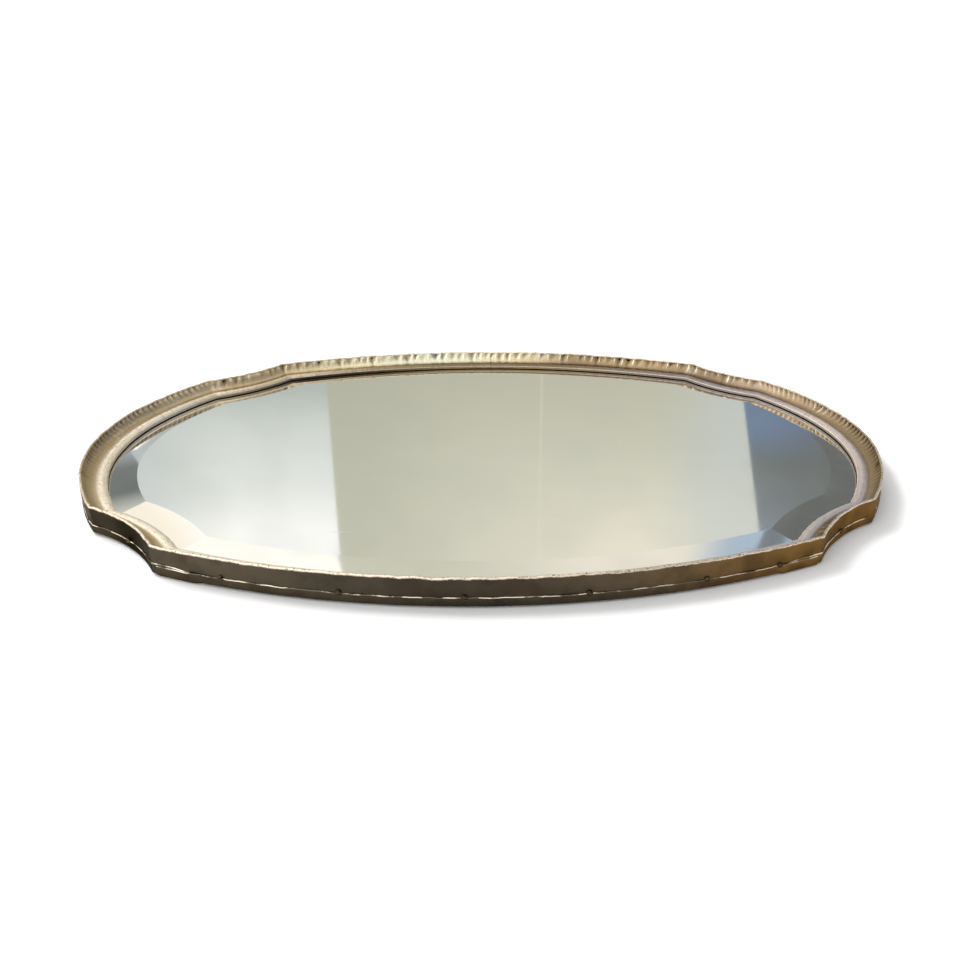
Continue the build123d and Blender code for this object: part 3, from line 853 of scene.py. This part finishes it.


# %% [markdown]
# ## The rim's brass
# Old brass is dark where nobody touches it and pale where it is rubbed. The wall keeps its brown
# patina, warmer towards the right, with painted shade making it nearly black in the front left hollow.
# The lip is rubbed to champagne. The flutes keep dark brown patina in their valleys, deepened as painted
# shade, and their crests carry a painted highlight. The cove and the ledge are painted paler towards the
# left, a painted highlight where the light falls; the ledge is also rubbed pale, with specks of dirt in
# the punch marks. A thin painted highlight runs along the ledge's edge, and painted shadow darkens the
# sheet's face in the gap beside the mirror.

# %% Rim brass
section_lengths = np.linalg.norm(np.diff(np.array(rim_section), axis=0), axis=1) / MM
section_places = np.concatenate([[0], np.cumsum(section_lengths)])
WALL_END, LIP_END, COVE_END, LEDGE_END, SIGHT_END = (
    section_places[region_of == name].max() for name in ("wall", "lip", "cove", "ledge", "sight"))
print("distances across:", [round(v, 2) for v in (WALL_END, LIP_END, COVE_END, LEDGE_END, SIGHT_END)])


def painted_hollow_shade(f):
    """1 on the part of the front left hollow that faces away from all the light, where the brass gets painted
    shade.
    """
    x, y = f.place("X"), f.place("Y")
    return f.step(x, -179.0, -162.0) * (1 - f.step(x, -146.4, -145.8)) * (1 - f.step(y, -95.0, -85.0))


def make_rim_brass():
    f = Finish("rim_brass", specular_tint=(0.6, 0.57, 0.52, 1.0))
    across = f.across_rim()
    worked = f.node("Attribute", {"attribute_name": "worked"}, {}, out=2)
    cloud = f.noise(14.0, 3.0)
    grit = f.noise(0.9, 4.0)
    speck = f.noise(0.8, 2.0)
    far = f.step(f.place("Y"), 20.0, 85.0)
    wall = along_tray(f, [(0.0, "2b2721"), (0.07, "383229"), (0.2, "5c5346"), (0.45, "403a30"),
                          (0.62, "584c3d"), (0.8, "7a5d34"), (1.0, "7d5b2c")])
    wall = f.mix(f.step(cloud, 0.35, 0.7) * 0.45, wall, "2b251c")
    hollow_shade = painted_hollow_shade(f)
    # Painted shade: the wall in the front left hollow is made nearly black.
    wall = f.mix(hollow_shade * 0.94, wall, "0c0b09")
    rubbed = f.step(across, WALL_END - 0.45, WALL_END + 0.15) * f.step(grit, 0.35, 0.6)
    lip = f.mix(f.step(grit, 0.55, 0.66), "f6e6d0", "9c8262")
    # Painted highlight over the brass's own colour: the cove is made nearly white left of the middle, where
    # the light falls, and browner to the right.
    cove = along_tray(f, [(0.0, "b39d82"), (0.05, "d8c39f"), (0.17, "dcc49c"), (0.27, "fff2cb"),
                          (0.42, "fffce0"), (0.54, "f4e4bc"), (0.64, "a38d6e"), (0.75, "b8a17c"),
                          (0.86, "8f7b63"), (0.93, "bda78c"), (1.0, "ac9679")])
    # Patina in the flute valleys, deepened as painted shade; the crests get a near-white painted highlight.
    valley_patina_and_shade = f.step(worked * -1.0, 0.02, 0.34)
    crest = f.step(worked, 0.03, 0.16)
    cove = f.mix(valley_patina_and_shade * 0.62, cove, "57422a")
    cove = f.mix(crest * 0.8, cove, "fff6dc")
    cove = f.mix(f.step(grit, 0.5, 0.75) * 0.4, cove, "6d5639")
    # Painted light over rubbed brass: the ledge is cream at the left end, where the light falls, and greyer
    # to the right; along the back it takes a second palette, brown in the middle.
    ledge = along_tray(f, [(0.0, "fff0da"), (0.3, "f6ecd6"), (0.5, "dccdb2"), (0.75, "beb4b0"),
                           (1.0, "c6bab6")])
    ledge = f.mix(far * 0.9, ledge, along_tray(f, [(0.0, "fff0d6"), (0.17, "ead9bc"), (0.3, "a08a6a"),
                                                   (0.42, "7d6a4d"), (0.6, "766449"), (0.75, "86766a"),
                                                   (0.87, "8e8587"), (1.0, "b0a6aa")]))
    ledge = f.mix(f.step(cloud, 0.5, 0.8) * 0.2, ledge, "a5917a")
    ledge = f.mix(f.step(speck, 0.61, 0.68) * 0.6, ledge, "4e4030")
    sight = along_tray(f, [(0.0, "d9cdb8"), (0.12, "b3a288"), (0.2, "54473a"), (0.32, "66563f"),
                           (0.42, "958160"), (0.6, "8b7959"), (0.8, "7d7068"), (1.0, "a0968f")])
    base = f.mix(rubbed, wall, lip)
    base = f.mix(f.step(across, WALL_END, WALL_END + 0.3), base, lip)
    base = f.mix(f.step(across, LIP_END - 0.8, LIP_END + 0.2), base, cove)
    base = f.mix(f.step(across, COVE_END - 1.2, COVE_END + 0.6), base, ledge)
    # Painted highlight: a thin pale line along the ledge's edge, fainter along the back.
    base = f.mix(f.step(across, LEDGE_END - 0.6, LEDGE_END - 0.4) * (1 - far * 0.4), base, "e6d6c0")
    base = f.mix(f.step(across, LEDGE_END - 0.1, LEDGE_END + 0.2), base, sight)
    # Painted shadow: the sheet's face down beside the mirror is made nearly black, for the dark gap there.
    base = f.mix(f.step(across, SIGHT_END - 0.15, SIGHT_END - 0.05), base, "1c1712")
    in_cove = f.step(across, WALL_END, WALL_END + 0.4)
    rough = 0.42 - in_cove * 0.16 + grit * 0.12
    bumps = grit * 0.6 + speck * 0.9
    in_ledge = f.step(across, COVE_END - 1.2, COVE_END + 0.6)
    return f.wear(base_color=base, roughness=rough, metallic=1 - in_ledge * (1 - far) * 0.38,
                  normal=f.bump(bumps, 0.09))


rim_brass = make_rim_brass()
for piece in rim_sheets.values():
    piece.data.materials.append(rim_brass)
print("rim brass nodes:", len(rim_brass.node_tree.nodes))

# %% [markdown]
# ## The strip and its pins
# The strip has the wall's patina, a little greyer, with painted shade in the front left hollow. Its cut
# top edge is coloured bright, partly wear and partly a painted highlight, broken in places; this draws the
# thin broken line round the tray. The pins are darker still, and mottled.

# %% Strip and pin brass
STRIP_EDGE = 13.7


def make_strip_brass():
    f = Finish("strip_brass", metallic=1.0, specular_tint=(0.5, 0.47, 0.42, 1.0))
    across = f.across_rim()
    cloud, grit = f.noise(11.0, 3.0), f.noise(0.8, 4.0)
    body = along_tray(f, [(0.0, "443e33"), (0.25, "504839"), (0.5, "3f3a30"), (0.65, "574c3b"),
                          (0.8, "7e5f36"), (1.0, "836135")])
    body = f.mix(f.step(cloud, 0.35, 0.7) * 0.45, body, "2d261c")
    body = f.mix(f.step(grit, 0.64, 0.76) * 0.5, body, "8a7350")
    # Painted highlight, partly wear: the cut top edge is coloured nearly white, broken in places by this
    # noise.
    broken_edge_highlight = f.step(f.noise(9.0, 4.0, (1, 6, 1), f.node("UVMap", {"uv_map": "rim"})), 0.44, 0.54)
    edge = f.step(across, STRIP_EDGE - 0.1, STRIP_EDGE + 0.1) * (0.12 + broken_edge_highlight * 0.88)
    # Painted shade: the strip is made nearly black in the front left hollow.
    hollow_shade = painted_hollow_shade(f)
    body = f.mix(hollow_shade * 0.9, body, "14120f")
    base = f.mix(edge, body, "fff0da")
    return f.wear(base_color=base, roughness=0.42 + grit * 0.14 - edge * 0.15,
                  normal=f.bump(grit, 0.06))


def make_stuff(name, grain, tones, rough, depth, spread=(0.3, 0.7), **shader):
    """A stuff with one fine grain, which mixes its two tones, adds to its roughness and bumps it."""
    f = Finish(name, **shader)
    fine = f.noise(*grain)
    base = f.mix(f.step(fine, *spread), *tones)
    f.wear(base_color=base, roughness=rough[0] + fine * rough[1], normal=f.bump(fine, depth))
    return f, base


strip_brass = make_strip_brass()
pin_brass, _ = make_stuff("pin_brass", (0.5, 3.0), ("2c241a", "6b5a43"), (0.38, 0.2), 0.08,
                          spread=(0.4, 0.68), metallic=1.0)
for piece in strips.values():
    piece.data.materials.append(strip_brass)

# %% [markdown]
# ## The mirror's silvering
# The glass is thin enough that the silver behind it is all that is seen. It is a metal with almost no
# roughness, except for wiping haze and a few hair scratches. Only the ground edge shows green, and the
# back is painted.

# %% Mirror finish


def make_mirror_finish():
    f = Finish("mirror")
    height = f.place("Z")
    haze = f.noise(36.0, 4.0, (1.0, 0.5, 1.0))
    weave = f.noise(1.0, 2.0, (5.0, 0.6, 1.0))
    hair = f.noise(1.2, 1.0, (60.0, 0.8, 1.0)) * f.noise(30.0, 1.0)
    scratch = f.step(hair, 0.44, 0.47)
    glass = f.mix(haze * 0.3, "f7f7f4", "e6e8e3")
    edge = f.mix(f.noise(2.0), "5f7f70", "3b5a4c")
    back = f.mix(f.noise(6.0), "5b4a40", "6f5d50")
    top = MIRROR_TOP / MM - BEVEL_DROP / MM
    face = f.step(height, top - 0.4, top - 0.2)
    base = f.mix(f.step(height, card_top / MM + 0.1, card_top / MM + 0.3), back, edge)
    base = f.mix(face, base, glass)
    rough = 0.35 - face * (0.335 - haze * 0.045 - weave * 0.02 - scratch * 0.10)
    return f.wear(base_color=base, metallic=0.1 + face * 0.9, roughness=rough)


mirror_finish = make_mirror_finish()
mirror.data.materials.append(mirror_finish)

# %% [markdown]
# ## Wood, board, card, steel and felt
# These are the plain stuff inside and under the tray. The core is pine, left bare underneath. Above
# that it is coloured near black, a painted shade for the dark gap beside the mirror, so that no pale wood
# shows there or in its reflection. The base is brown hardboard, the card behind the glass is grey, the
# screws are dull zinc-plated steel, and the pads are dark green felt.

# %% The hidden finishes
REBATE_SHADE_FROM = 2.4

wood, base = make_stuff("core_wood", (1.1, 4.0, (14.0, 1.0, 1.0)), ("c9a472", "9c7245"), (0.62, 0.12), 0.08)
base = wood.mix(wood.noise(20.0) * 0.4, base, "b98e5c")
# Painted shade: above the rebate height the core is made near black, for the dark gap beside the mirror.
base = wood.mix(wood.step(wood.place("Z"), REBATE_SHADE_FROM - 0.2, REBATE_SHADE_FROM), base, "0d0c0b")
wood.wear(base_color=base)

board, base = make_stuff("panel_board", (0.7, 5.0), ("6b4a31", "8a6444"), (0.55, 0.2), 0.06)
board.wear(base_color=board.mix(board.step(board.noise(30.0, 3.0), 0.3, 0.7) * 0.5, base, "5a3d28"))

card, _ = make_stuff("card", (0.5, 4.0), ("a39c8f", "8b8478"), (0.8, 0.1), 0.03)

steel, _ = make_stuff("screw_steel", (0.6, 3.0), ("b3b0a8", "77716a"), (0.34, 0.2), 0.04,
                      spread=(0.35, 0.7), metallic=1.0)

felt, base = make_stuff("felt", (0.35, 5.0), ("24352a", "415a47"), (0.92, 0.05), 0.25,
                        sheen_weight=0.6, sheen_roughness=0.6)
felt.wear(base_color=felt.mix(felt.noise(3.0) * 0.4, base, "2c4033"))

for pad in pads:
    pad.data.materials.append(felt.material)

NODE_FINISHES = {"core_": wood, "base_panel": board, "backing_card": card, "base_screws": steel,
                 "side_pins": pin_brass}
for name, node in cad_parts.items():
    for start, finish in NODE_FINISHES.items():
        if name.startswith(start):
            for holder in node.material_slots:
                holder.material = finish.material
            print(f"{name}: {finish.material.name}")

# %% [markdown]
# ## A plain studio
# A white floor runs out to a white horizon. The sky is a soft box, bright on the left and dimmer on the
# right, so that curved metal has something to show. The mirror needs something to show as well: large
# glowing cards hang behind the table, seen only in reflections, coloured as painted reflections of what
# the mirror shows. A narrow white slit among them paints a highlight on the mirror's left bevel. The
# lower row is what the flat of the glass sees, and the upper row is what its front bevel sees.

# %% Floor
bpy.ops.object.select_all(action="DESELECT")
bpy.ops.mesh.primitive_plane_add(size=240.0)
floor = bpy.context.object
floor.name = "floor"
floor_finish = Finish("floor_white", roughness=0.9, base_color=colour("f7f7f6"))
floor_finish.shader.inputs["Specular IOR Level"].default_value = 0.1
floor.data.materials.append(floor_finish.material)

# %% Paper sheets
GLOW_CARD_Y = 1.2
SPLIT = 1.02
GLOW_CARD_TOP = 2.8
ANY_Z = (-2.0, -1.0)  # below every sheet, so the tint is there at all heights
HIDDEN_FROM = ("visible_camera", "visible_diffuse", "visible_shadow", "visible_transmission")


def glow_card_finish(name, stops, tints, cloudy, glow):
    """A glowing card, which paints a reflection. `stops` are colours at heights in metres. Each tint is a
    colour, its strength, and the x, then the z, over which it comes in."""
    f = Finish(name, base_color=(0, 0, 0, 1), roughness=1.0, emission_strength=glow)
    low, high = stops[0][0], stops[-1][0]
    x, z = f.place("X") / 1000.0, f.place("Z") / 1000.0
    stops = [((height - low) / (high - low), colour(code)) for height, code in stops]
    base = f.node("ValToRGB", {"stops": stops}, {0: (z - low) / (high - low)})
    for code, strength, from_x, to_x, from_z, to_z in tints:
        base = f.mix(f.step(x, from_x, to_x) * f.step(z, from_z, to_z) * strength, base, code)
    base = f.mix(f.step(f.noise(150.0, 3.0), 0.4, 0.7) * cloudy, base, "9aa09a")
    return f.wear(emission_color=base)


def hang_glow_card(name, low_edge, high_edge, stops, tints=(), nearer=0.0, cloudy=0.12, glow=1.08):
    """A glowing card between two edges, seen only in reflections. Each edge is its left x, its right x and
    its z, in metres.
    """
    bpy.ops.object.select_all(action="DESELECT")
    bpy.ops.mesh.primitive_plane_add(size=1.0)
    glow_card = bpy.context.object
    glow_card.name = name
    corners = [(x, z) for *ends, z in (low_edge, high_edge) for x in ends]
    for vertex, (x, z) in zip(glow_card.data.vertices, corners):
        vertex.co = (x, GLOW_CARD_Y - nearer, z)
    glow_card.data.materials.append(glow_card_finish(name, stops, tints, cloudy, glow))
    for ray in HIDDEN_FROM:
        setattr(glow_card, ray, False)


# Painted reflections: each card's colours and tints are what the mirror and its bevel show.
hang_glow_card("glow_card_left", (-0.88, -0.34, 0.0), (-0.88, -0.352, SPLIT),
           [(0.2, "b4bbc1"), (0.42, "b0b7b1"), (0.50, "ccd2cc"), (0.66, "e2e6e1"), (0.78, "fcfcf8"),
            (0.86, "ffffff")],
           [("adb4b8", 0.75, -0.54, -0.92, 0.88, 0.78), ("fff6e4", 0.8, -0.78, -0.86, 0.84, 0.92)])
hang_glow_card("glow_card_far_left", (-2.6, -0.88, 0.0), (-2.6, -0.88, SPLIT),
           [(0.30, "b4bcc3"), (0.47, "98a1a8"), (0.56, "707573"), (0.70, "6a6e6c"), (0.79, "c4c6be"),
            (0.89, "fff6e4")], [("f2eee2", 1.0, -1.04, -1.2, *ANY_Z)])
hang_glow_card("glow_card_middle", (-0.34, 0.465, 0.0), (-0.352, 0.715, SPLIT),
           [(0.40, "bab9a8"), (0.60, "c9c8b8"), (0.90, "d8d5c5")],
           [("a6a897", 0.5, 0.10, -0.40, *ANY_Z), ("f0ead8", 0.55, 0.0, 0.40, 0.55, 0.85),
            ("c0c8c8", 0.6, 0.36, 0.56, *ANY_Z)], cloudy=0.08)
hang_glow_card("glow_card_right", (0.465, 1.15, 0.0), (0.715, 1.15, SPLIT),
           [(0.30, "b6cbee"), (0.37, "94abd0"), (0.45, "6b7d96"), (0.52, "6e7f98"), (0.61, "6f7474"),
            (0.75, "7f878d"), (0.85, "8798aa")], [("626462", 1.0, 0.62, 0.90, *ANY_Z)])
hang_glow_card("glow_card_far_right", (1.15, 3.0, 0.0), (1.15, 3.0, SPLIT), [(0.3, "b9bcc8"), (0.9, "c8c6d0")])
hang_glow_card("glow_card_batten", (0.114, 0.119, 0.0), (0.122, 0.127, SPLIT),
           [(0.4, "c6c5b4"), (0.9, "e0ddcd")], nearer=0.004)
# Painted highlight: a narrow white glowing slit, placed so that the mirror's left bevel shows a bright arc.
hang_glow_card("glow_card_highlight_slit", (-0.874, -0.860, 0.452), (-0.764, -0.756, 0.340),
           [(0.2, "ffffff"), (0.6, "ffffff")], nearer=0.006, glow=1.5)
hang_glow_card("glow_card_upper_left", (-4.0, -0.43, SPLIT), (-4.0, -0.44, GLOW_CARD_TOP),
           [(1.0, "fffaf0"), (1.25, "fffdf6"), (1.6, "fffcf4")], glow=1.12)
hang_glow_card("glow_card_upper_middle", (-0.43, 0.80, SPLIT), (-0.44, 0.80, GLOW_CARD_TOP),
           [(1.0, "c4c3b2"), (1.6, "cccaba")],
           [("e8e2d4", 1.0, -0.20, 0.40, *ANY_Z), ("a9bacd", 1.0, 0.56, 0.74, *ANY_Z)])
hang_glow_card("glow_card_upper_right", (0.80, 4.0, SPLIT), (0.80, 4.0, GLOW_CARD_TOP),
           [(1.0, "747c83"), (1.6, "747c83")], [("9db4cc", 1.0, 0.86, 0.90, *ANY_Z)])

# %% [markdown]
# ## Sky and key light
# The key light is a wide, low sun from the left and behind. It draws the soft shadow on the right and in
# front, and leaves the front wall to the floor's reflection.

# %% Sky and key
SKY_COLOUR = (0.985, 0.99, 1.0, 1.0)
KEY_WAY = Vector((0.58, -0.40, -0.71))
KEY_STRENGTH = 2.2
KEY_SOFTNESS = math.radians(22.0)


def make_sky():
    world = bpy.data.worlds.new("studio_sky")
    bpy.context.scene.world = world
    f = Finish("studio_sky", owner=world)
    way = f.node("TexCoord", out=0)
    x, y, z = (f.node("SeparateXYZ", {}, {0: way}, out=i) for i in range(3))
    left = f.step(x * -1.0, -0.1, 0.4)
    right = f.step(x, 0.0, 0.45)
    front = f.step(y * -1.0, 0.1, 0.8)
    light = 0.95 + left * 0.55 - right * 0.50 - front * right * 0.15
    horizon = 1 - f.step(z, 0.15, 0.22)
    light = light + horizon * (1.15 - light)
    back = f.tree.nodes["Background"]
    f.set(back.inputs["Strength"], light)
    back.inputs["Color"].default_value = SKY_COLOUR


make_sky()
bpy.ops.object.light_add(type="SUN", location=(-1.0, 1.0, 1.0))
key = bpy.context.object
key.name = "key_light"
key.rotation_euler = KEY_WAY.to_track_quat("-Z", "Y").to_euler()
key.data.energy = KEY_STRENGTH
key.data.angle = KEY_SOFTNESS
key.visible_glossy = False
key.data.color = (1.0, 0.985, 0.96)
bpy.context.scene.view_settings.view_transform = "Standard"
print("lights:", [o.name for o in bpy.data.objects if o.type == "LIGHT"])
